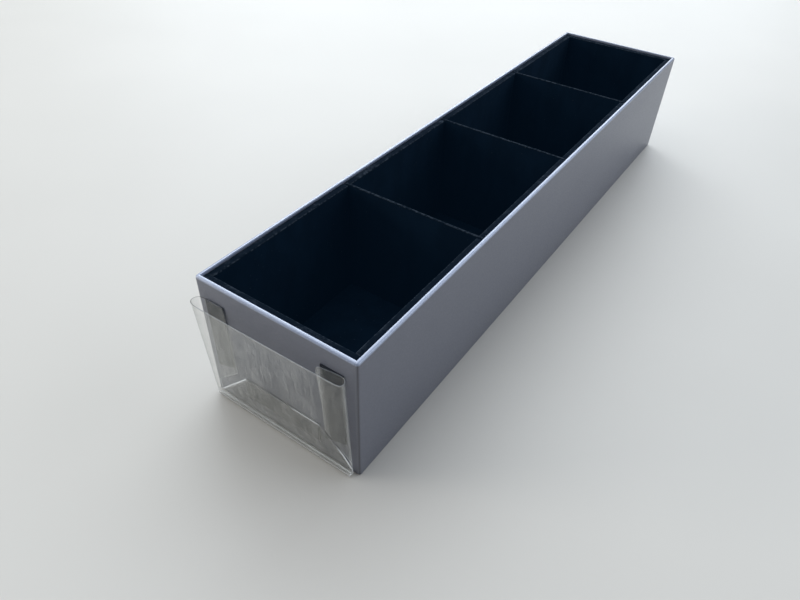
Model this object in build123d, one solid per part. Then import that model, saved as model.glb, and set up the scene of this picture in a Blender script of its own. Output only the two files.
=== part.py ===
from build123d import *
import os

# Open drawer tray for trading cards: greyboard walls wrapped in grey paper, black
# flocked lining panels, three lift-out dividers and a clear film label pocket.
# Millimetres. The origin is the centre of the underside, the front faces -Y.

# ---------------------------------------------------------------- tray, outside
box_width = 107.0
box_length = 474.0
box_height = 87.0

board = 2.0              # greyboard of the walls and the base
paper = 0.13             # wrapping paper
stay = 0.10              # gummed tape over the corner joints, and the paste line
rim_round = 1.20         # outer top edge of a wall board
mouth_round = 0.45       # inner top edge of a wall board
corner_round = 1.50      # upright corner of the wrapped box
rim_turn_in = 16.0       # paper turned down inside the walls
base_turn_in = 14.0      # paper turned under the base
sheet_inset = 2.5        # base sheet, in from the edges of the box
stay_width = 13.0        # each leg of a corner stay
stay_drop = 7.0          # top of a corner stay, below the rim

# ---------------------------------------------------------------- lining and dividers
lining = 4.5             # flocked wall panels
lining_drop = 1.6        # their tops, below the rim
lining_round = 0.7       # folded top edge of the flock paper
floor_lining = 2.0
compartments = 4
divider = 1.8
divider_drop = 1.2       # top of a divider, below the rim
divider_corner = 1.5     # rounded top corners of a divider
groove_play = 0.30       # on each face of a divider
groove_end_play = 0.50   # between the end of a divider and the wall

# ---------------------------------------------------------------- label pocket
film = 0.30
pocket_tape = 0.80       # double-sided foam tape behind the flaps
pocket_top = 75.0        # upper edge of the pocket, above the table
pocket_foot = 1.0        # underside of its bottom fold, above the table
left_inset_top = 1.0     # left fold, in from the left side of the box
left_inset_foot = 3.2
right_inset_top = 4.7
right_inset_foot = 2.8
left_mouth = 8.3         # front panel, out from the box, at the upper left
right_mouth = 7.3        # and at the upper right
foot_depth = 4.7         # front panel, out from the box, at the bottom fold
flap_width = 18.6        # side flaps
flap_corner = 2.5        # rounded upper corners of the side flaps
lift = 2.0               # upper free corner of the right flap, sprung off its tape
lift_start = 45.0        # height where that lift begins
bottom_flap_top = 25.5   # upper edge of the bottom flap
fold_end_gap = 1.0       # end of the bottom fold, in from the side folds
mitre_gap = 7.0          # between the mitred flaps, measured upwards
tape_inset = 0.8         # tape, in from the edges of its flap
left_tape_foot = 27.0    # lower end of the left tape strip
right_tape_foot = 19.5   # lower end of the right tape strip
tape_slant = 2.4         # half the rise of a strip's slanting lower end
bottom_tape_height = 14.0 # down from the upper edge of the bottom flap

# ---------------------------------------------------------------- derived places
skin = paper + stay                      # outer face of a board, in from the box
wall = skin + board + paper              # wrapped wall, with the paper turned in
half_width = box_width / 2
half_length = box_length / 2
board_x = half_width - skin
board_y = half_length - skin
bay_x = board_x - board                  # inner faces of the bare boards
bay_y = board_y - board
wall_x = half_width - wall               # inner faces of the wrapped walls
wall_y = half_length - wall
board_foot = 2 * paper                   # base sheet and turned-in paper lie under it
board_top = box_height - paper
base_top = board_foot + board
floor_top = base_top + floor_lining
lining_top = box_height - lining_drop
lining_y = wall_y - lining               # inner faces of the end linings
groove = divider + 2 * groove_play
segment = (2 * lining_y - (compartments - 1) * groove) / compartments
front = -half_length                     # plane of the box front


def block(x0, x1, y0, y1, z0, z1):
    """Rectangular block between two corners."""
    centre = ((x0 + x1) / 2, (y0 + y1) / 2, (z0 + z1) / 2)
    return Pos(*centre) * Box(x1 - x0, y1 - y0, z1 - z0)


def prism(half_x, half_y, z0, z1, corner=0.0):
    """Upright block about the Z axis, with rounded upright corners."""
    body = block(-half_x, half_x, -half_y, half_y, z0, z1)
    if corner > 0:
        body = fillet(body.edges().filter_by(Axis.Z), corner)
    return body


def top_edges(body, z):
    """Edges that lie in the level plane at height z."""
    return body.edges().filter_by_position(Axis.Z, z - 0.001, z + 0.001)


def mouth_edges(body, z, half_x, half_y):
    """The edges at height z that bound the mouth of the box, and not its outer rim."""
    level = top_edges(body, z)
    level = level.filter_by_position(Axis.X, -half_x - 0.01, half_x + 0.01)
    return level.filter_by_position(Axis.Y, -half_y - 0.01, half_y + 0.01)


def export(node, body):
    export_step(body, os.path.join("parts", node + ".step"))


# ---------------------------------------------------------------- greyboard
def wall_boards():
    """The side boards run the full length and the end boards stand between them."""
    ring = prism(board_x, board_y, board_foot, board_top, corner_round - skin)
    ring = fillet(top_edges(ring, board_top), rim_round)
    ring = ring - prism(bay_x, bay_y, 0, box_height)
    ring = fillet(mouth_edges(ring, board_top, bay_x, bay_y), mouth_round)
    reach = box_length
    right = ring & block(bay_x, half_width, -reach, reach, 0, box_height)
    left = ring & block(-half_width, -bay_x, -reach, reach, 0, box_height)
    back = ring & block(-bay_x, bay_x, 0, reach, 0, box_height)
    front_end = ring & block(-bay_x, bay_x, -reach, 0, 0, box_height)
    return {"left_board": left, "right_board": right, "front_board": front_end, "back_board": back}


def corner_stays():
    """Gummed tape folded round the outside of each corner joint."""
    corner = corner_round - paper
    sleeve = prism(half_width - paper, half_length - paper, board_foot, box_height - stay_drop, corner)
    sleeve = sleeve - prism(board_x, board_y, 0, box_height, corner_round - skin)
    stays = {}
    for side, sx in (("left", -1), ("right", 1)):
        for end, sy in (("front", -1), ("back", 1)):
            x = sorted((sx * half_width, sx * (half_width - stay_width)))
            y = sorted((sy * half_length, sy * (half_length - stay_width)))
            stays[f"corner_stay_{end}_{side}"] = sleeve & block(*x, *y, 0, box_height)
    return stays


# ---------------------------------------------------------------- wrapping paper
def outer_wrap():
    """Grey paper round the walls, over the rim and turned in at the top and under the base."""
    body = prism(half_width, half_length, paper, box_height, corner_round)
    body = fillet(top_edges(body, box_height), rim_round + skin)
    body = body - prism(wall_x, wall_y, 2 * paper, box_height + 1)
    body = fillet(mouth_edges(body, box_height, wall_x, wall_y), mouth_round + paper)
    room = prism(half_width - paper, half_length - paper, board_foot, board_top, corner_round - paper)
    room = fillet(top_edges(room, board_top), rim_round + stay)
    core = prism(bay_x, bay_y, box_height - rim_turn_in, box_height + 1)
    room = room - core
    room = fillet(mouth_edges(room, board_top, bay_x, bay_y), mouth_round)
    window = prism(half_width - base_turn_in, half_length - base_turn_in, 0, base_top)
    return body - room - window


def base_sheet():
    """Plain paper pasted under the base, over the turned-in edges."""
    return prism(half_width - sheet_inset, half_length - sheet_inset, 0, paper)


# ---------------------------------------------------------------- flocked lining
def rounded_top(body, z, radius):
    return fillet(top_edges(body, z), radius)


def end_linings():
    front_panel = block(-wall_x, wall_x, -wall_y, -lining_y, floor_top, lining_top)
    front_panel = rounded_top(front_panel, lining_top, lining_round)
    return {"front_lining": front_panel, "back_lining": mirror(front_panel, about=Plane.XZ)}


def segment_start(index):
    """Front end of a lining segment; the gap before the next one is a groove."""
    return -lining_y + index * (segment + groove)


def side_linings():
    panels = {}
    for index in range(compartments):
        start = segment_start(index)
        panel = block(wall_x - lining, wall_x, start, start + segment, floor_top, lining_top)
        panel = rounded_top(panel, lining_top, lining_round)
        panels[f"right_lining_{index + 1}"] = panel
        panels[f"left_lining_{index + 1}"] = mirror(panel, about=Plane.YZ)
    return panels


def dividers():
    """Flocked boards that stand in the grooves between the lining segments."""
    reach = wall_x - groove_end_play
    top = box_height - divider_drop
    boards = {}
    for index in range(1, compartments):
        y = segment_start(index) - groove / 2
        body = block(-reach, reach, y - divider / 2, y + divider / 2, floor_top, top)
        corners = top_edges(body, top).filter_by(Axis.Y)
        boards[f"divider_{index}"] = fillet(corners, divider_corner)
    return boards


# ---------------------------------------------------------------- label pocket
fold_radius = (foot_depth - pocket_tape) / 2      # bottom fold
fold_z = pocket_foot + fold_radius
flap_back = front - pocket_tape
flap_face = flap_back - film


def between(z, foot, top):
    """Value at height z on a straight line from the bottom fold to the upper edge."""
    return foot + (top - foot) * (z - fold_z) / (pocket_top - fold_z)


def left_fold(z):
    return -half_width + between(z, left_inset_foot, left_inset_top)


def right_fold(z):
    return half_width - between(z, right_inset_foot, right_inset_top)


def film_section(z):
    """Level section of the film: flap, round fold, front panel, round fold, flap."""
    left = left_fold(z)
    right = right_fold(z)
    left_radius = (between(z, foot_depth, left_mouth) - pocket_tape) / 2
    right_radius = (between(z, foot_depth, right_mouth) - pocket_tape) / 2
    sprung = max(0.0, lift * (z - lift_start) / (pocket_top - lift_start))

    def point(x, y):
        return (x, y, z)

    left_x = left + left_radius
    right_x = right - right_radius
    left_axis = flap_back - left_radius
    right_axis = flap_back - right_radius
    a = point(left + flap_width, flap_back)
    b = point(left_x, flap_back)
    c = point(left_x, flap_back - 2 * left_radius)
    d = point(right_x, flap_back - 2 * right_radius)
    e = point(right_x, flap_back)
    f = point(right - flap_width, flap_back - sprung)
    g = point(right - flap_width, flap_face - sprung)
    h = point(right_x, flap_face)
    i = point(right_x, flap_back - 2 * right_radius + film)
    j = point(left_x, flap_back - 2 * left_radius + film)
    k = point(left_x, flap_face)
    m = point(left + flap_width, flap_face)
    edges = [
        Edge.make_line(a, b),
        Edge.make_three_point_arc(b, point(left, left_axis), c),
        Edge.make_line(c, d),
        Edge.make_three_point_arc(d, point(right, right_axis), e),
        Edge.make_line(e, f),
        Edge.make_line(f, g),
        Edge.make_line(g, h),
        Edge.make_three_point_arc(h, point(right - film, right_axis), i),
        Edge.make_line(i, j),
        Edge.make_three_point_arc(j, point(left + film, left_axis), k),
        Edge.make_line(k, m),
        Edge.make_line(m, a),
    ]
    return Face(Wire(edges))


def upright_plate(points, y0, y1):
    """Plate of the given outline in X and Z, between two planes of Y."""
    outline = Polyline(*[(x, y0, z) for x, z in points], close=True)
    face = Face(Wire(outline.edges()))
    return Solid.extrude(face, Vector(0, y1 - y0, 0))


def label_pocket():
    """One sheet of clear film, folded at both sides and along the bottom."""
    sheet = loft([film_section(z) for z in (fold_z, lift_start, pocket_top)], ruled=True)

    # The side flaps are mitred below and rounded at their upper free corners.
    left = left_fold(fold_z)
    right = right_fold(fold_z)
    mitre_z = fold_z + mitre_gap
    mitre_back = front
    mitre_front = front - pocket_tape - fold_radius
    run = flap_width + left_inset_foot
    for x, step in ((left, 1), (right, -1)):
        outer = x - step * run
        outline = [(outer, 0), (x + step * run, 0), (x + step * run, mitre_z + run), (x, mitre_z), (outer, mitre_z)]
        sheet = sheet - upright_plate(outline, mitre_front, mitre_back)
    for x, step in ((left_fold(pocket_top), 1), (right_fold(pocket_top), -1)):
        free = x + step * flap_width
        corner = block(*sorted((free - step * flap_corner, free + step * run)),
                       flap_face - 2 * lift, front, pocket_top - flap_corner, pocket_top + 1)
        disc = Pos(free - step * flap_corner, front, pocket_top - flap_corner) * Rot(90, 0, 0)
        disc = disc * Cylinder(flap_corner, 4 * left_mouth)
        sheet = sheet - (corner - disc)

    # The bottom fold and its mitred flap.
    fold_left = left + fold_end_gap
    fold_right = right - fold_end_gap
    fold_y = flap_back - fold_radius
    length = fold_right - fold_left
    axis = Pos((fold_left + fold_right) / 2, fold_y, fold_z) * Rot(0, 90, 0)
    roll = axis * Cylinder(fold_radius, length) - axis * Cylinder(fold_radius - film, length + 2)
    roll = roll - block(-half_width, half_width, front - box_width, front, fold_z, pocket_top)
    rise = bottom_flap_top - fold_z
    outline = [(fold_left, fold_z), (fold_right, fold_z),
               (fold_right - rise, bottom_flap_top), (fold_left + rise, bottom_flap_top)]
    flap = upright_plate(outline, flap_face, flap_back)
    return sheet + roll + flap


def pocket_tapes():
    """Strips of foam tape between the flaps and the box."""
    strips = {}
    inner = flap_width - tape_inset
    bend = (left_mouth - pocket_tape) / 2
    top = pocket_top - tape_inset
    for side, fold, step, foot in (
        ("left", left_fold, 1, left_tape_foot),
        ("right", right_fold, -1, right_tape_foot),
    ):
        outer_x = fold(pocket_top) + step * bend
        if side == "left":
            outer_x = max(outer_x, fold(foot) + bend)
        inner_x = fold(pocket_top) + step * inner
        low = foot - step * tape_slant
        high = foot + step * tape_slant
        outline = [(outer_x, low), (inner_x, high), (inner_x, top), (outer_x, top)]
        strips[f"pocket_tape_{side}"] = upright_plate(outline, flap_back, front)
    high = bottom_flap_top - tape_inset
    low = high - bottom_tape_height
    ends = bottom_flap_top - fold_z
    x0 = left_fold(fold_z) + fold_end_gap + ends
    x1 = right_fold(fold_z) - fold_end_gap - ends
    strips["pocket_tape_bottom"] = block(x0, x1, flap_back, front, low, high)
    return strips


def main():
    os.makedirs("parts", exist_ok=True)
    nodes = {}
    nodes["base_board"] = block(-bay_x, bay_x, -bay_y, bay_y, board_foot, base_top)
    nodes.update(wall_boards())
    nodes.update(corner_stays())
    nodes["outer_wrap"] = outer_wrap()
    nodes["base_sheet"] = base_sheet()
    nodes["floor_lining"] = block(-wall_x, wall_x, -wall_y, wall_y, base_top, floor_top)
    nodes.update(end_linings())
    nodes.update(side_linings())
    nodes.update(dividers())
    nodes["label_pocket"] = label_pocket()
    nodes.update(pocket_tapes())
    for node, body in nodes.items():
        export(node, body)


main()
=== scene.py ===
from math import cos, pi, radians, sin

import bmesh
import bpy
from mathutils import Matrix, Vector, noise


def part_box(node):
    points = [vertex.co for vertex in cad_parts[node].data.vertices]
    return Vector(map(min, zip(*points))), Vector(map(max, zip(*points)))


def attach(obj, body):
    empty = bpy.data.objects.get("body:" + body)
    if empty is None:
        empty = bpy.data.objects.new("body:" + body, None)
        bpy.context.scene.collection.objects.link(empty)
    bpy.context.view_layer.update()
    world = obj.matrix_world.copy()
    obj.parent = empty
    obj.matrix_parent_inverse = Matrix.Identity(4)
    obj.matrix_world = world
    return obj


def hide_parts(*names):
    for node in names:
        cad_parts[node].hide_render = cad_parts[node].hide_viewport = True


# Open drawer tray for trading cards. Metres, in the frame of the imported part: the origin is
# the centre of the underside, the front faces -Y.
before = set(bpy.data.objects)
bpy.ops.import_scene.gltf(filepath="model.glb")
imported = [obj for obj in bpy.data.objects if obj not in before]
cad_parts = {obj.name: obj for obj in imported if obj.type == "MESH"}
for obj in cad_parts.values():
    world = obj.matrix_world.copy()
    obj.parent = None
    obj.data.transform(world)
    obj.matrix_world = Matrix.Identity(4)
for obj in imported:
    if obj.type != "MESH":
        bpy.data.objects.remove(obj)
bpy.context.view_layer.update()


# ---------------------------------------------------------------- table, light and camera
# The tray stands on a plain pale table under four soft lights: a window behind it on the
# left, the ceiling, a weaker one behind on the right and a small warm one in front on the
# left. The camera looks down over the tray's front right corner.
scene = bpy.context.scene
mm = 0.001


def paint(red, green, blue):
    """Colour as it is seen on a screen, 0 to 255, turned into the light it stands for."""
    def light(value):
        value /= 255
        return value / 12.92 if value <= 0.04045 else ((value + 0.055) / 1.055) ** 2.4
    return (light(red), light(green), light(blue), 1.0)


class Signal:
    """A socket of a finish, on which its maths is written as plain expressions."""

    def __init__(self, finish, socket):
        self.finish = finish
        self.socket = socket

    def maths(self, operation, *terms):
        return self.finish.node("ShaderNodeMath", dict(enumerate(terms)), operation=operation)

    def __add__(self, other):
        return self.maths("ADD", self, other)

    def __sub__(self, other):
        return self.maths("SUBTRACT", self, other)

    def __rsub__(self, other):
        return self.maths("SUBTRACT", other, self)

    def __mul__(self, other):
        return self.maths("MULTIPLY", self, other)

    def __abs__(self):
        return self.maths("ABSOLUTE", self)

    __radd__ = __add__
    __rmul__ = __mul__


class Finish:
    """One procedural material. Patterns lie in the piece's own coordinates, in metres."""

    def __init__(self, name):
        self.material = bpy.data.materials.new(name)
        self.material.use_nodes = True
        self.tree = self.material.node_tree
        self.tree.nodes.clear()
        self.place = self.node("ShaderNodeTexCoord", output="Object")

    def node(self, kind, sockets=None, output=0, **settings):
        """Adds a node: its settings first, then the values or links of its sockets."""
        made = self.tree.nodes.new(kind)
        for name, value in settings.items():
            setattr(made, name, value)
        for name, value in (sockets or {}).items():
            if isinstance(value, Signal):
                self.tree.links.new(value.socket, made.inputs[name])
            else:
                made.inputs[name].default_value = value
        return Signal(self, made.outputs[output]) if made.outputs else None

    def grain(self, size, stretch=(1, 1, 1), detail=3.0, rough=0.55, seed=0.0):
        """Cloudy pattern from 0 to 1 whose patches are about size metres across."""
        spot = self.node("ShaderNodeMapping", {"Vector": self.place, "Scale": stretch,
                                               "Location": (seed, seed, seed)})
        return self.node("ShaderNodeTexNoise", {"Vector": spot, "Scale": 1 / size,
                                                "Detail": detail, "Roughness": rough})

    def band(self, value, start, end, low=0.0, high=1.0):
        """Smooth change from low to high while value goes from start to end."""
        return self.node("ShaderNodeMapRange", {"Value": value, "From Min": start,
                                                "From Max": end, "To Min": low,
                                                "To Max": high},
                         interpolation_type="SMOOTHSTEP")

    def axis(self, name):
        return self.node("ShaderNodeSeparateXYZ", {0: self.place}, output=name)

    def blend(self, mask, first, second):
        """First colour where the mask is 0, the second where it is 1."""
        return self.node("ShaderNodeMix", {0: mask, 6: first, 7: second}, output=2,
                         data_type="RGBA")

    def relief(self, height, depth, under=None):
        """Bump of that depth, on top of another one where it is given."""
        sockets = {"Height": height, "Distance": depth, "Strength": 1.0}
        if under:
            sockets["Normal"] = under
        return self.node("ShaderNodeBump", sockets)

    def surface(self, sockets):
        """Closes the finish with one shader and gives the material."""
        self.node("ShaderNodeOutputMaterial",
                  {"Surface": self.node("ShaderNodeBsdfPrincipled", sockets)})
        return self.material


def piece(name, mesh, *finishes):
    """Closes a bmesh into an object at the origin, with its materials."""
    data = bpy.data.meshes.new(name)
    mesh.to_mesh(data)
    mesh.free()
    for finish in finishes:
        data.materials.append(finish)
    thing = bpy.data.objects.new(name, data)
    scene.collection.objects.link(thing)
    return thing


def smooth(thing, angle):
    """Smooth shading, with the edges sharper than the angle kept crisp."""
    thing.data.shade_smooth()
    limit = radians(angle)
    mesh = bmesh.new()
    mesh.from_mesh(thing.data)
    for edge in mesh.edges:
        edge.smooth = len(edge.link_faces) == 2 and edge.calc_face_angle(0.0) < limit
    mesh.to_mesh(thing.data)
    mesh.free()


table_reach = 6.0
table_gap = 0.02 * mm            # keeps its face clear of the tray's underside

table_colour = Finish("table")
table_finish = table_colour.surface({
    "Base Color": table_colour.blend(table_colour.grain(0.22, detail=2),
                                     paint(198, 194, 187), paint(206, 202, 195)),
    "Roughness": 0.55,
})
slab = bmesh.new()
bmesh.ops.create_grid(slab, x_segments=8, y_segments=8, size=table_reach)
bmesh.ops.translate(slab, verts=slab.verts, vec=(0, 0, -table_gap))
table = piece("table", slab, table_finish)

sky = bpy.data.worlds.new("studio")
scene.world = sky
sky.use_nodes = True
daylight = sky.node_tree.nodes["Background"].inputs
daylight["Color"].default_value = (0.86, 0.92, 1.0, 1.0)
daylight["Strength"].default_value = 0.17


def softbox(name, toward, distance, width, height, power, colour):
    """Area light in that direction from the tray, aimed at its middle."""
    lamp = bpy.data.lights.new(name, "AREA")
    lamp.shape = "RECTANGLE"
    lamp.size = width
    lamp.size_y = height
    lamp.energy = power
    lamp.color = colour
    holder = bpy.data.objects.new(name, lamp)
    scene.collection.objects.link(holder)
    direction = Vector(toward).normalized()
    holder.location = direction * distance
    holder.rotation_euler = direction.to_track_quat("Z", "Y").to_euler()


softbox("window", toward=(-0.43, 0.74, 0.515), distance=2.2, width=2.6, height=2.0,
        power=47.0, colour=(0.84, 0.92, 1.0))
softbox("ceiling", toward=(-0.38, 0.05, 0.92), distance=1.8, width=2.4, height=2.4,
        power=31.0, colour=(0.88, 0.94, 1.0))
softbox("left_fill", toward=(-1.0, -0.8, 0.36), distance=2.0, width=0.6, height=0.5,
        power=11.5, colour=(1.0, 0.97, 0.93))
softbox("right_fill", toward=(0.72, 0.55, 0.50), distance=2.0, width=1.8, height=1.3,
        power=17.0, colour=(0.80, 0.88, 1.0))

eye = Vector((0.17632, -0.39114, 0.29940))
azimuth = radians(33.353)        # from straight ahead of the front, towards the right
elevation = radians(41.280)
roll = radians(2.215)
lens = 28.834                    # millimetres, as is the sensor
sensor = 36.0
nearest = 0.01

forward = Vector((-sin(azimuth) * cos(elevation), cos(azimuth) * cos(elevation),
                  -sin(elevation)))
level = Vector((cos(azimuth), sin(azimuth), 0.0))
upward = level.cross(forward)
right = level * cos(roll) + upward * sin(roll)
above = upward * cos(roll) - level * sin(roll)
camera_data = bpy.data.cameras.new("camera")
camera_data.sensor_width = sensor
camera_data.sensor_fit = "HORIZONTAL"
camera_data.lens = lens
camera_data.clip_start = nearest
camera = bpy.data.objects.new("camera", camera_data)
scene.collection.objects.link(camera)
aim = Matrix((right, above, -forward)).transposed().to_4x4()
camera.matrix_world = Matrix.Translation(eye) @ aim
scene.camera = camera
scene.view_settings.view_transform = "Standard"


# ---------------------------------------------------------------- greyboards
# Base, two long sides and two ends cut from 2 mm grey chipboard, butted and glued at the
# corners. The paper hides them, so they keep their shapes and only get their pulp grey.
def dress(node, finish):
    """Gives its finish to a piece that keeps its CAD shape."""
    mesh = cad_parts[node].data
    mesh.materials.clear()
    mesh.materials.append(finish)


pulp = Finish("greyboard")
flakes = pulp.grain(0.0016, stretch=(1, 1, 3), detail=5, rough=0.7)
pulp_fibres = pulp.grain(0.0004, stretch=(1, 6, 1), detail=3)
greyboard = pulp.surface({
    "Base Color": pulp.blend(pulp.band(flakes, 0.35, 0.7),
                             paint(150, 145, 137), paint(178, 174, 166)),
    "Roughness": 0.86,
    "Normal": pulp.relief(pulp_fibres, 0.05 * mm),
})
for board in ("base_board", "front_board", "back_board", "left_board", "right_board"):
    dress(board, greyboard)


# ---------------------------------------------------------------- corner stays
# Brown gummed paper folded over the outside of each corner joint before the box is
# wrapped. It is damped and pressed on, and the wrapping paper covers it.
kraft = Finish("gummed_tape")
kraft_fibres = kraft.grain(0.0006, stretch=(1, 1, 0.2), detail=4)
gummed_tape = kraft.surface({
    "Base Color": kraft.blend(kraft_fibres, paint(168, 134, 92), paint(190, 158, 116)),
    "Roughness": kraft.band(kraft_fibres, 0.3, 0.7, 0.5, 0.7),
    "Normal": kraft.relief(kraft_fibres, 0.02 * mm),
})
for end in ("front", "back"):
    for side in ("left", "right"):
        dress(f"corner_stay_{end}_{side}", gummed_tape)


# ---------------------------------------------------------------- wrapping paper
# Satin coated grey paper. The side sheets are turned round the corners of the box and the
# two end sheets are pasted over them; all go over the rim and under the base.
low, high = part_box("outer_wrap")
paper = 0.06 * mm                # room of one layer; two lie on each other at the ends
paper_thickness = 0.97 * paper   # leaves a hair between the layers
wall = 2.36 * mm                 # wrapped wall, with the paper turned in
rim_round = 1.43 * mm            # outer edge of the rim
mouth_round = 0.58 * mm          # inner edge of the rim
foot_round = 0.35 * mm
corner_round = 1.5 * mm          # upright corners of the box
inner_corner_round = 0.05 * mm   # the same paper inside the rim's corners
turn_in = 16.0 * mm              # reach down the inside of a wall
base_turn_in = 14.0 * mm         # reach under the base
end_sheet_inset = 1.8 * mm       # edge of an end sheet, in from the corner of the box
mouth_cut = 0.55 * mm            # by which an end sheet narrows on its way over the rim
near_base = 10 * mm              # stations lower than this lie at the foot
near_rim = 80 * mm               # and higher than this on the rim

wrap = Finish("wrapping_paper")
across, along, height = (wrap.axis(name) for name in "XYZ")
out_x, out_y = abs(across), abs(along)
clouds = wrap.grain(0.055, detail=3)
fibres = wrap.grain(0.0011, stretch=(1, 1, 1.6), detail=5, rough=0.62)
emboss = wrap.grain(0.00045, detail=2, seed=3)
rubs = wrap.grain(0.006, stretch=(1, 1, 0.18), detail=4, seed=9)
rub_mask = wrap.band(rubs, 0.66, 0.74)
# The rim is polished, so it is less rough and coated, and it is also painted lighter and bluer as
# a highlight of the window, fading towards the back.
rim_polish_and_highlight = wrap.band(height, 85.1 * mm, 86.3 * mm)                # polished rim
rim_highlight_fade = wrap.band(along, 60 * mm, 230 * mm, 1.0, 0.55)            # least at the back
rim_wear_and_highlight = rim_polish_and_highlight * wrap.band(wrap.grain(0.0022, seed=5), 0.58, 0.72)
# Painted shade: a dark line down the box's upright corners.
corner_shade = (wrap.band(out_x, high.x - 1.0 * mm, high.x - 0.35 * mm)
             * wrap.band(out_y, high.y - 1.0 * mm, high.y - 0.35 * mm))
sheet_edge = (wrap.band(out_x, high.x - 2.0 * mm, high.x - 1.75 * mm)
              * wrap.band(out_x, high.x - 1.3 * mm, high.x - 1.7 * mm)
              * wrap.band(out_y, high.y - 0.3 * mm, high.y - 0.1 * mm))
tone = wrap.blend(clouds, paint(104, 107, 119), paint(112, 115, 127))
tone = wrap.blend(wrap.band(fibres, 0.35, 0.65) * 0.35, tone, paint(97, 99, 110))
tone = wrap.blend(rub_mask * 0.14, tone, paint(150, 152, 160))
# Painted highlight: the rim is lightened towards pale blue, least at the back, with lighter worn
# spots.
tone = wrap.blend(rim_polish_and_highlight * rim_highlight_fade * 0.7 + rim_wear_and_highlight * 0.1, tone, paint(166, 179, 207))
tone = wrap.blend(sheet_edge * 0.3, tone, paint(160, 162, 168))
# Painted shade darkens the upright corners below the rim.
tone = wrap.blend(corner_shade * (1 - rim_polish_and_highlight) * 0.75, tone, paint(48, 46, 54))
wrapping_paper = wrap.surface({
    "Base Color": tone,
    "Roughness": wrap.band(fibres, 0.3, 0.7, 0.34, 0.42) + rub_mask * 0.08 - rim_polish_and_highlight * 0.12,
    "Specular IOR Level": 0.8,
    "Coat Weight": rim_polish_and_highlight * rim_highlight_fade * 0.5,
    "Coat Roughness": 0.36,
    "Coat IOR": 1.9,
    "Normal": wrap.relief(emboss, 0.010 * mm, under=wrap.relief(fibres, 0.012 * mm)),
})
# The paper's cut edges are painted dark, as the shade in the gaps of its seams.
cut = Finish("paper_cut_edge")
cut_edge = cut.surface({
    "Base Color": cut.blend(cut.grain(0.0008), paint(34, 34, 40), paint(52, 52, 58)),
    "Roughness": 0.8,
})


def wrap_path():
    """Stations of the sheet as (inset, height), from under the base, up, over the rim and in."""
    def turns(first, last):
        return [step / last * pi / 2 for step in range(first, last + 1)]

    path = [(base_turn_in, low.z), (foot_round, low.z)]
    path += [(foot_round * (1 - sin(turn)), low.z + foot_round * (1 - cos(turn)))
             for turn in turns(1, 4)]
    path += [(0.0, 30 * mm), (0.0, 60 * mm)]
    path += [(rim_round * (1 - cos(turn)), high.z - rim_round * (1 - sin(turn)))
             for turn in turns(0, 6)]
    path += [(wall - mouth_round * (1 - sin(turn)), high.z - mouth_round * (1 - cos(turn)))
             for turn in turns(0, 6)]
    return path + [(wall, high.z - turn_in)]


def pull(mesh, row):
    """Extrudes a row of edges and gives the new row."""
    grown = bmesh.ops.extrude_edge_only(mesh, edges=row)["geom"]
    return [part for part in grown if isinstance(part, bmesh.types.BMEdge)]


# The side sheets: a ring round the box, drawn along the path. At the ends it keeps one layer
# under its own height and depth, as room for the end sheets.
sheets = bmesh.new()
bmesh.ops.create_grid(sheets, x_segments=1, y_segments=1, size=1.0)
bmesh.ops.scale(sheets, vec=(high.x, high.y, 1.0), verts=sheets.verts)
bmesh.ops.bevel(sheets, geom=sheets.verts[:], offset=corner_round, segments=6, profile=0.5,
                affect="VERTICES", material=-1)
bmesh.ops.delete(sheets, geom=sheets.faces[:], context="FACES_ONLY")
way = sheets.verts.layers.float_vector.new("way")
pivot = sheets.verts.layers.float_vector.new("pivot")
for vertex in sheets.verts:
    side = Vector((1 if vertex.co.x > 0 else -1, 1 if vertex.co.y > 0 else -1, 0))
    centre = Vector((side.x * (high.x - corner_round), side.y * (high.y - corner_round), 0))
    vertex[pivot] = side
    vertex[way] = (vertex.co - centre).normalized()
row = sheets.edges[:]
for index, (inset, z) in enumerate(wrap_path()):
    if index:
        row = pull(sheets, row)
    under = paper * (1 - 2 * inset / wall) if inset <= wall else 0.0
    if z > near_rim and inset > 0:
        lift = -paper
    else:
        lift = paper if z < near_base else 0.0
    reach = max(corner_round, inset + inner_corner_round)
    for vertex in {v for edge in row for v in edge.verts}:
        side, turned = vertex[pivot], vertex[way]
        middle = Vector((side.x * (high.x - reach), side.y * (high.y - reach - under), 0))
        vertex.co = middle + turned * (reach - inset)
        vertex.co.z = z + lift * abs(turned.y)

# The two end sheets: plain strips along the same path, cut a little narrower over the rim
# and mitred under the base.
for end in (-1, 1):
    bare = bmesh.new()
    row = [bare.edges.new((bare.verts.new((-1, 0, 0)), bare.verts.new((1, 0, 0))))]
    for index, (inset, z) in enumerate(wrap_path()):
        if index:
            row = pull(bare, row)
        cut_back = mouth_cut * min(1.0, inset / wall)
        if z < near_base:
            cut_back = max(0.0, inset - wall)
        half = high.x - end_sheet_inset - cut_back
        for vertex in {v for edge in row for v in edge.verts}:
            vertex.co = (half if vertex.co.x > 0 else -half, end * (high.y - inset), z)
    bmesh.ops.recalc_face_normals(bare, faces=bare.faces[:])
    spare = bpy.data.meshes.new("end_sheet")
    bare.to_mesh(spare)
    bare.free()
    sheets.from_mesh(spare)
    bpy.data.meshes.remove(spare)

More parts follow.
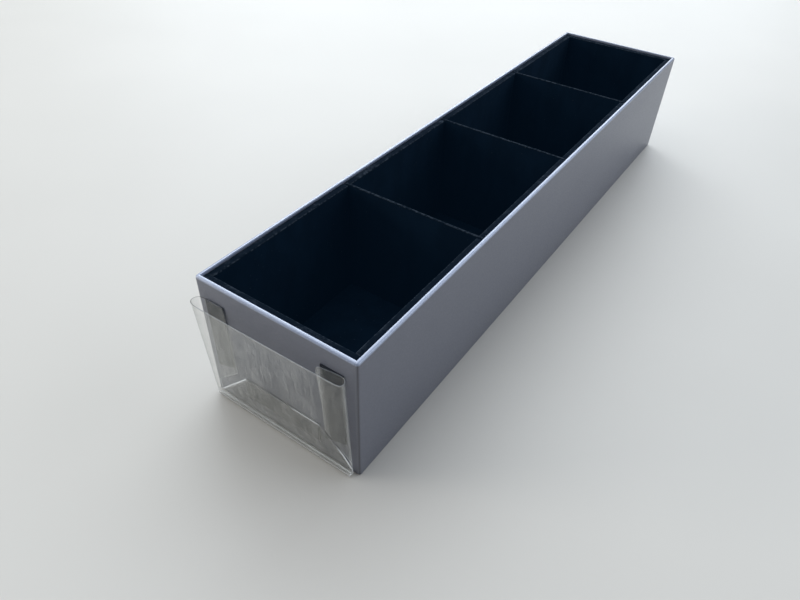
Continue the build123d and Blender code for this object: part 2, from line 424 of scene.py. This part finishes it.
# Every face looks out of the board that it covers: out at the walls, in at their inside,
# up on the rim and down under the base.
for face in sheets.faces:
    face.normal_update()
    centre = face.calc_center_median()
    outward = Vector((0, 0, 1 if centre.z > high.z / 2 else -1))
    if abs(face.normal.z) < 0.05:
        sideways = abs(face.normal.x) > abs(face.normal.y)
        outward = Vector((centre.x, 0, 0)) if sideways else Vector((0, centre.y, 0))
        if abs(centre.x) < high.x - 0.5 * wall and abs(centre.y) < high.y - 0.5 * wall:
            outward = -outward
    if face.normal.dot(outward) < 0:
        face.normal_flip()
wrapper = piece("wrapping_paper", sheets, wrapping_paper, cut_edge)
smooth(wrapper, 40)
thickness = wrapper.modifiers.new("paper", "SOLIDIFY")
thickness.thickness = paper_thickness
thickness.offset = -1
thickness.material_offset_rim = 1
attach(wrapper, "tray")
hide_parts("outer_wrap")


# ---------------------------------------------------------------- base sheet
# Plain matt dark paper pasted under the base. It covers the turned-in edges of the
# wrapping paper and stops short of the box's edges.
foot = Finish("base_paper")
foot_fibres = foot.grain(0.0009, stretch=(1, 3, 1), detail=4)
foot_scuffs = foot.band(foot.grain(0.012, stretch=(1, 0.25, 1), seed=2), 0.62, 0.75)
foot_tone = foot.blend(foot_fibres, paint(84, 84, 90), paint(94, 94, 100))
base_paper = foot.surface({
    "Base Color": foot.blend(foot_scuffs * 0.5, foot_tone, paint(124, 124, 130)),
    "Roughness": 0.78,
    "Normal": foot.relief(foot_fibres, 0.03 * mm),
})
dress("base_sheet", base_paper)


# ---------------------------------------------------------------- flocked lining
# Card panels faced with black flock paper, which is folded over their top edges. They are
# glued to the floor and the walls; the gaps between the side panels hold the dividers.
def flock(name, worn, fade, strength):
    """Short black pile, rubbed to a paler, broken line just below the height worn. Its top is
    painted darker as shade and it glows faintly blue as painted light.
    """
    pile = Finish(name)
    nap = pile.grain(0.0005, detail=4, rough=0.7)
    brushed = pile.grain(0.016, stretch=(1, 1, 0.5), detail=3, seed=4)
    crumbs = pile.band(pile.grain(0.0016, detail=2, seed=7), 0.40, 0.60)
    dust = pile.band(pile.grain(0.0017, detail=1, seed=11), 0.74, 0.80)
    rise = pile.axis("Z")
    line = (pile.band(rise, worn - fade, worn - 0.5 * fade)
            * pile.band(rise, worn + 0.3 * fade, worn))
    top_shade = pile.band(rise, worn - 2.2 * fade, worn - 1.2 * fade)
    colour = pile.blend(pile.band(brushed, 0.35, 0.65), paint(5, 14, 25), paint(9, 21, 34))
    # Painted shade: the top of the pile, which the lamps light most, is darker.
    colour = pile.blend(top_shade, colour, paint(5, 11, 19))
    colour = pile.blend(line * crumbs * strength, colour, paint(86, 94, 104))
    colour = pile.blend(dust * 0.3, colour, paint(96, 98, 104))
    return pile.surface({
        "Base Color": colour,
        "Roughness": 0.96,
        "Specular IOR Level": 0.04,
        "Sheen Weight": 0.03,
        "Sheen Roughness": 0.5,
        "Sheen Tint": (0.3, 0.6, 1.0, 1.0),
        # Painted light: the pile glows a faint blue, lifting its shaded hollows.
        "Emission Color": paint(2, 9, 18),
        "Emission Strength": 1.0,
        "Normal": pile.relief(nap, 0.12 * mm),
    })


def block(corner, far):
    """Plain board between two corners."""
    board = bmesh.new()
    bmesh.ops.create_cube(board, size=1.0)
    bmesh.ops.scale(board, vec=far - corner, verts=board.verts)
    bmesh.ops.translate(board, vec=(corner + far) / 2, verts=board.verts)
    return board


def top_edges(board, top, axis):
    """Edges of a board's top that run along the axis."""
    return [e for e in board.edges if all(abs(v.co.z - top) < 1e-6 for v in e.verts)
            and abs(e.verts[0].co[axis] - e.verts[1].co[axis]) > mm]


def round_off(board, edges, radius, segments):
    bmesh.ops.bevel(board, geom=edges, offset=radius, segments=segments, profile=0.5,
                    affect="EDGES", material=-1)


def score(board, axis, place):
    """Adds a line of edges round a board, so that it can be uneven there."""
    at, normal = Vector((0, 0, 0)), Vector((0, 0, 0))
    at[axis], normal[axis] = place, 1
    bmesh.ops.bisect_plane(board, geom=board.verts[:] + board.edges[:] + board.faces[:],
                           dist=1e-6, plane_co=at, plane_no=normal)


face_waves, face_uneven = 180, 0.10 * mm       # waves in a metre, and how far they reach
top_waves, top_uneven, top_sunk = 260, 0.16 * mm, 0.05 * mm
top_depth = 3 * mm
score_rise = 14 * mm


def wander(place):
    """Shift from -1 to 1 in all three directions, which is the same at every run."""
    return Vector([noise.noise(place + Vector((37.0 * turn, 0, 0))) for turn in range(3)])


def soft_panel(node, top_round, side_round, step):
    """Board the size of its node, with a rounded top and slightly uneven faces."""
    corner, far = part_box(node)
    board = block(corner, far)
    long_axis = 0 if far.x - corner.x > far.y - corner.y else 1
    round_off(board, top_edges(board, far.z, long_axis), top_round, 4)
    sharp = [e for e in board.edges if e.calc_face_angle(0) > radians(80)]
    round_off(board, sharp, side_round, 2)
    for axis, spacing in ((long_axis, step), (2, score_rise)):
        place = corner[axis] + spacing
        while place < far[axis] - 2 * mm:
            score(board, axis, place)
            place += spacing
    for vertex in board.verts:
        near_top = max(0.0, 1 - (far.z - vertex.co.z) / top_depth)
        shift = wander(vertex.co * face_waves) * face_uneven
        shift.z = (noise.noise(vertex.co * top_waves) * top_uneven - top_sunk) * near_top
        vertex.co += shift
    return board


flock_lining = flock("flock_lining", worn=85.22 * mm, fade=0.5 * mm, strength=0.32)
wall_linings = ["front_lining", "back_lining"]
wall_linings += [f"{side}_lining_{index}" for side in ("left", "right") for index in (1, 2, 3, 4)]
panels = [(node, 0.8 * mm, 0.35 * mm, 6 * mm) for node in wall_linings]
panels.append(("floor_lining", 0.3 * mm, 0.2 * mm, 12 * mm))
for node, top_round, side_round, step in panels:
    panel = piece(f"{node}_panel", soft_panel(node, top_round, side_round, step), flock_lining)
    smooth(panel, 50)
    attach(panel, "tray")
    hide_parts(node)


# ---------------------------------------------------------------- dividers
# Thin boards flocked on both faces, with rounded top corners. They stand loose in the
# grooves between the side panels and lift straight out; their top edges are rubbed pale.
shoulder_round = 1.5 * mm
brow_round = 0.5 * mm            # long edges of the top
brow_waves, brow_uneven, brow_depth = 240, 0.14 * mm, 2 * mm
sway_waves, sway = 150, 0.08 * mm

flock_divider = flock("flock_divider", worn=85.76 * mm, fade=0.4 * mm, strength=0.22)
for index, body_name in enumerate(("front_divider", "middle_divider", "rear_divider"), start=1):
    node = f"divider_{index}"
    corner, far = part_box(node)
    board = block(corner, far)
    round_off(board, top_edges(board, far.z, 1), shoulder_round, 5)
    sharp = [e for e in board.edges if e.calc_face_angle(0) > radians(60)]
    round_off(board, sharp, brow_round, 3)
    for place in range(-48, 49, 4):
        score(board, 0, place * mm)
    for vertex in board.verts:
        near_top = max(0.0, 1 - (far.z - vertex.co.z) / brow_depth)
        vertex.co.z += (noise.noise(vertex.co * brow_waves) - 0.4) * brow_uneven * near_top
        vertex.co.y += noise.noise(vertex.co * sway_waves) * sway * near_top
    divider = piece(f"{node}_board", board, flock_divider)
    smooth(divider, 50)
    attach(divider, body_name)
    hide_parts(node)


# ---------------------------------------------------------------- pocket tapes
# Strips of dark double-sided foam tape, 0.8 mm thick, between the pocket's flaps and the
# front of the box. The pull of the film has left the foam open-celled at its cut edges.
foam = Finish("foam_tape")
cells = foam.node("ShaderNodeTexVoronoi", {"Vector": foam.place, "Scale": 2600.0},
                  output="Distance")
foam_tape = foam.surface({
    "Base Color": foam.blend(foam.grain(0.004, detail=4), paint(28, 32, 41), paint(44, 49, 59)),
    "Roughness": foam.band(cells, 0.0, 0.6, 0.7, 0.9),
    "Normal": foam.relief(cells, 0.05 * mm),
})
for side in ("left", "right", "bottom"):
    dress(f"pocket_tape_{side}", foam_tape)


# ---------------------------------------------------------------- label pocket
# One die-cut sheet of clear film, 0.3 mm thick. Its sides are bent back in open round
# folds to two flaps and its foot to a mitred one, and the flaps are taped to the box.
film = 0.3 * mm
foot_z, top_z = 2.95, 75.0       # the pocket's shape is written in millimetres
middle_x, front_y = 53.5, -237.0

# Course of the film seen from above, at its top edge and at its foot, from the left flap
# round both folds to the right flap: along from the box's left side, and out of its front.
sheet_top = [(19.6, 0.95), (14.5, 0.95), (9.5, 0.95), (5.4, 0.95), (2.1, 1.6), (0.75, 4.6),
             (2.0, 7.5), (5.6, 8.35), (12.0, 8.4), (32.0, 8.1), (52.0, 7.9), (74.0, 7.55),
             (90.0, 7.3), (97.0, 7.15), (101.7, 6.9), (102.5, 4.0), (100.6, 1.5),
             (97.4, 1.25), (93.2, 1.75), (88.6, 2.4), (83.4, 3.2)]
sheet_foot = [(21.8, 0.95), (17.0, 0.95), (12.0, 0.95), (7.6, 0.95), (4.3, 0.95), (2.95, 2.75),
              (4.3, 4.55), (7.6, 4.55), (14.0, 4.55), (33.0, 4.55), (52.0, 4.55), (74.0, 4.55),
              (88.5, 4.55), (96.0, 4.55), (103.0, 4.55), (104.75, 2.75), (103.0, 0.95),
              (99.4, 0.95), (95.0, 0.95), (90.2, 0.95), (85.4, 0.95)]
heights = [foot_z, 5.5, 10.0, 18.0, 30.0, 45.0, 57.0, 66.0, 72.0, top_z]
# Course of the bottom flap seen from the side: out of the front, and up.
roll_path = [(0.95, 25.5), (0.95, 22.5), (0.95, 16.0), (0.95, 9.0), (0.95, 4.6), (0.95, 2.9),
             (1.05, 1.35), (2.05, 1.0), (3.45, 1.0), (4.45, 1.35)]
belly = 0.22                     # of the panel between its folds
spring_z = 45.0                  # above this the right flap springs off the box


def film_point(column, row):
    """Place of a crossing of the sheet's net: rows rise from the bottom flap to the top edge."""
    x_foot, out_foot = sheet_foot[column]
    if row < len(roll_path):
        out, z = roll_path[row]
        return Vector((x_foot, out, z))
    z = heights[row - len(roll_path)]
    x_top, out_top = sheet_top[column]
    share = (z - foot_z) / (top_z - foot_z)
    sprung = max(0.0, (z - spring_z) / (top_z - spring_z))
    x = x_foot + (x_top - x_foot) * share
    if column > 16:              # right flap
        out = out_foot + (0.95 - out_foot) * share + (out_top - 0.95) * sprung
    else:
        out = out_foot + (out_top - out_foot) * share
    if 8 < column < 14:          # middle of the panel
        out += belly * sin(pi * share) * sin(pi * (column - 7) / 7)
    return Vector((x, out, z))


def on_front(x, out, z):
    """Point of the film in metres, in the frame of the part."""
    return Vector((x - middle_x, front_y - out, z)) * mm


# The net of the sheet is bent to these courses, rounded by subdivision and then trimmed.
# Its faces carry the number of the part that they belong to; below the panel only the
# middle columns are film.
columns = len(sheet_top) - 1
rows = len(roll_path) + len(heights) - 1
front_panel, left_flap, right_flap, bottom_flap = range(4)
net = bmesh.new()
bmesh.ops.create_grid(net, x_segments=columns, y_segments=rows, size=1.0)
waste = []
for face in net.faces:
    centre = face.calc_center_median()
    column = int((centre.x + 1) / 2 * columns)
    row = int((centre.y + 1) / 2 * rows)
    if row < len(roll_path) and not 5 < column < 14:
        waste.append(face)
    elif row < 5:
        face.material_index = bottom_flap
    elif column < 4:
        face.material_index = left_flap
    elif column > 15:
        face.material_index = right_flap
bmesh.ops.delete(net, geom=waste, context="FACES")
for vertex in net.verts:
    vertex.co = on_front(*film_point(round((vertex.co.x + 1) / 2 * columns),
                                     round((vertex.co.y + 1) / 2 * rows)))
net_object = piece("film_net", net, *[foam_tape] * 4)
curve = net_object.modifiers.new("curve", "SUBSURF")
curve.levels = 3
curve.render_levels = 3
curve.boundary_smooth = "PRESERVE_CORNERS"
bent = net_object.evaluated_get(bpy.context.evaluated_depsgraph_get())
folded = bpy.data.meshes.new_from_object(bent)
bpy.data.objects.remove(net_object)
sheet = bmesh.new()
sheet.from_mesh(folded)


def trim(flap, line, keep):
    """Cuts a flap along a line through two points (x, z), on the side away from keep."""
    first, second, inside = (on_front(x, 0.0, z) for x, z in (*line, keep))
    away = (second - first).cross(Vector((0, 1, 0))).normalized()
    if (inside - first).dot(away) > 0:
        away = -away
    parts = set()
    for face in sheet.faces:
        if face.material_index == flap:
            parts.update((face, *face.edges, *face.verts))
    bmesh.ops.bisect_plane(sheet, geom=list(parts), dist=1e-7, plane_co=first, plane_no=away)
    offcut = [f for f in sheet.faces if f.material_index == flap
              and (f.calc_center_median() - first).dot(away) > 1e-7]
    bmesh.ops.delete(sheet, geom=offcut, context="FACES")


# Lines of the scissors' cuts, each through two points (x, z) of the box's front.
left_cut = ((3.6, 10.8), (20.0, 25.3))
right_cut = ((103.6, 7.6), (85.4, 23.6))
left_mitre = ((5.6, 3.9), (27.0, 25.5))
right_kink = ((102.4, 3.8), (97.0, 11.0))
right_mitre = ((97.0, 11.0), (81.0, 24.9))
trim(left_flap, left_cut, keep=(10.0, 60.0))
trim(right_flap, right_cut, keep=(95.0, 60.0))
for line in (left_mitre, right_kink, right_mitre):
    trim(bottom_flap, line, keep=(50.0, 10.0))
flap_round = 2.5                 # the side flaps' upper corners
for flap, centre_x, inward in ((left_flap, 17.1, 1), (right_flap, 86.2, -1)):
    arc = [(centre_x + inward * flap_round * cos(radians(turn)),
            top_z - flap_round + flap_round * sin(radians(turn))) for turn in (0, 30, 60, 90)]
    for line in zip(arc, arc[1:]):
        trim(flap, line, keep=(centre_x, 60.0))


def off_line(x, z, first, second):
    """Distance from a point of the box's front to the line through two others."""
    run = Vector(second) - Vector(first)
    return abs(run.x * (z - first[1]) - run.y * (x - first[0])) / run.length


def near(distance, reach):
    """1 at an edge or a fold, 0 beyond its reach."""
    return max(0.0, 1 - distance / reach)


# Cut edges and tight folds get painted highlights, each as far and as strongly as is written
# here. What is taped to the box is marked as bonded.
glow = sheet.verts.layers.float.new("near_edge")
bond = sheet.verts.layers.float.new("bonded")
for vertex in sheet.verts:
    parts = {f.material_index for f in vertex.link_faces}
    x, z = vertex.co.x / mm + middle_x, vertex.co.z / mm
    share = (z - foot_z) / (top_z - foot_z)
    right_half = x > 62
    vertex[bond] = 0.0 if parts == {front_panel} else 1.0
    if bottom_flap in parts:
        mitre = min(off_line(x, z, *line) for line in (left_mitre, right_mitre, right_kink))
        faint = 0.75 * min(1.0, max(0.0, (z - 13.0) / 3.0)) if right_half else 0.0
        vertex[glow] = 0.15 + 0.85 * near(mitre, 1.5) * (1 - faint)
    elif right_flap in parts:
        flap_edge = 85.4 - 2.0 * share
        vertex[glow] = 0.5 * near(x - flap_edge, 5.0)
    elif parts == {front_panel} and x > 95:
        right_fold = 104.75 - 2.25 * share
        vertex[glow] = 0.38 * near(right_fold - x, 1.4)
    if parts == {front_panel} and x > 8:
        vertex[glow] = max(vertex[glow], 0.6 * (z - top_z + 1))
    if bottom_flap in parts and z > 24.4:
        vertex[glow] = max(vertex[glow], 0.75 if right_half else 0.3)
for face in sheet.faces:
    face.material_index = 0
bmesh.ops.recalc_face_normals(sheet, faces=sheet.faces[:])

# The film shows by what it mirrors, most at a glancing angle, by a thin veil of handling marks
# and by painted highlights at its rolled foot, edges and folds. All are its Alpha; the more of it
# is mirror, the more Metallic it is.
clear = Finish("clear_film")
facing = clear.node("ShaderNodeLayerWeight", {"Blend": 0.5}, output="Facing")
haze = clear.grain(0.014, stretch=(1, 1, 0.5), detail=4, rough=0.6)
streaks = clear.grain(0.0015, stretch=(1, 1, 0.10), detail=5, rough=0.7)
smears = clear.grain(0.007, stretch=(1, 1, 0.4), detail=5, rough=0.65, seed=3)
speckle = clear.band(clear.grain(0.0009, detail=2, seed=6), 0.55, 0.75)
sideways, rise = clear.axis("X"), clear.axis("Z")
ahead = clear.band(clear.axis("Y"), -240.6 * mm, -241.2 * mm)
# Painted highlights: two bright lines along the rolled foot of the panel.
roll_highlights = clear.band(rise, 2.0 * mm, 2.5 * mm) * clear.band(rise, 3.3 * mm, 2.8 * mm) * ahead
roll_highlights = roll_highlights + clear.band(rise, 1.35 * mm, 1.05 * mm)
bonded = clear.node("ShaderNodeAttribute", output="Fac", attribute_name="bonded")
edge_glow = clear.node("ShaderNodeAttribute", output="Fac", attribute_name="near_edge")
spark = clear.band(edge_glow, 0.45, 0.85)
mirror = facing * facing * facing * facing * facing * 0.92 + 0.06 - bonded * 0.035
handled = (clear.band(sideways, -46 * mm, -33 * mm, 0.3, 1.0)
           * clear.band(sideways, 29 * mm, 35 * mm, 1.0, 0.45))
dulled = (clear.band(haze, 0.38, 0.62, 0.0, 0.03) + clear.band(streaks, 0.44, 0.60, 0.0, 0.075)
          + clear.band(smears, 0.46, 0.58, 0.0, 0.065)) * handled
marks_and_highlights = (dulled * (1 - bonded * 0.6) + speckle * (bonded * 0.10 + 0.02) + roll_highlights * 0.5
        + edge_glow * 0.6)
clear_film = clear.surface({
    # Painted highlights whiten the film at its rolled foot, its cut edges and its folds.
    "Base Color": clear.blend(roll_highlights + edge_glow, paint(224, 225, 222), paint(246, 246, 244)),
    "Metallic": clear.band(marks_and_highlights, 0.0, 0.25, 0.9, 0.3),
    "Roughness": clear.band(streaks, 0.4, 0.7, 0.08, 0.2),
    "Alpha": mirror + marks_and_highlights,
    # Painted light: the film glows near its brightest edges and folds.
    "Emission Color": clear.blend(spark, paint(0, 0, 0), paint(168, 174, 180)),
    "Emission Strength": 1.0,
    "Normal": clear.relief(streaks, 0.004 * mm),
})

# The cut edge glows with painted light, brightest at the mitres, and is painted dark as shade
# where the left fold's mouth lies in its own shade.
snipped = Finish("film_cut_edge")
nicks = snipped.grain(0.0012, detail=2)
snip_x, snip_z = snipped.axis("X"), snipped.axis("Z")
mitred = (snipped.band(snip_z, 26 * mm, 24 * mm) * snipped.band(snip_x, -26 * mm, -30 * mm)
          + snipped.band(snip_z, 16 * mm, 13 * mm) * snipped.band(snip_x, 26 * mm, 30 * mm))
shaded = snipped.band(snip_x, -45 * mm, -47 * mm) * snipped.band(snip_z, 60 * mm, 70 * mm)
edge_tone = snipped.blend(nicks, paint(128, 131, 136), paint(160, 164, 168))
edge_tone = snipped.blend(mitred, edge_tone, paint(248, 250, 252))
edge_light = snipped.blend(mitred, paint(44, 46, 50), paint(190, 196, 202))
film_cut_edge = snipped.surface({
    "Base Color": snipped.blend(shaded, edge_tone, paint(20, 20, 24)),
    "Roughness": 0.22,
    "Alpha": snipped.band(nicks, 0.3, 0.7, 0.7, 0.95),
    "Emission Color": snipped.blend(shaded, edge_light, paint(0, 0, 0)),
    "Emission Strength": 0.5,
})
pocket = piece("label_pocket_film", sheet, clear_film, film_cut_edge)
pocket.data.shade_smooth()
thickness = pocket.modifiers.new("film", "SOLIDIFY")
thickness.thickness = film
thickness.offset = 0
thickness.material_offset_rim = 1
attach(pocket, "tray")
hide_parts("label_pocket")
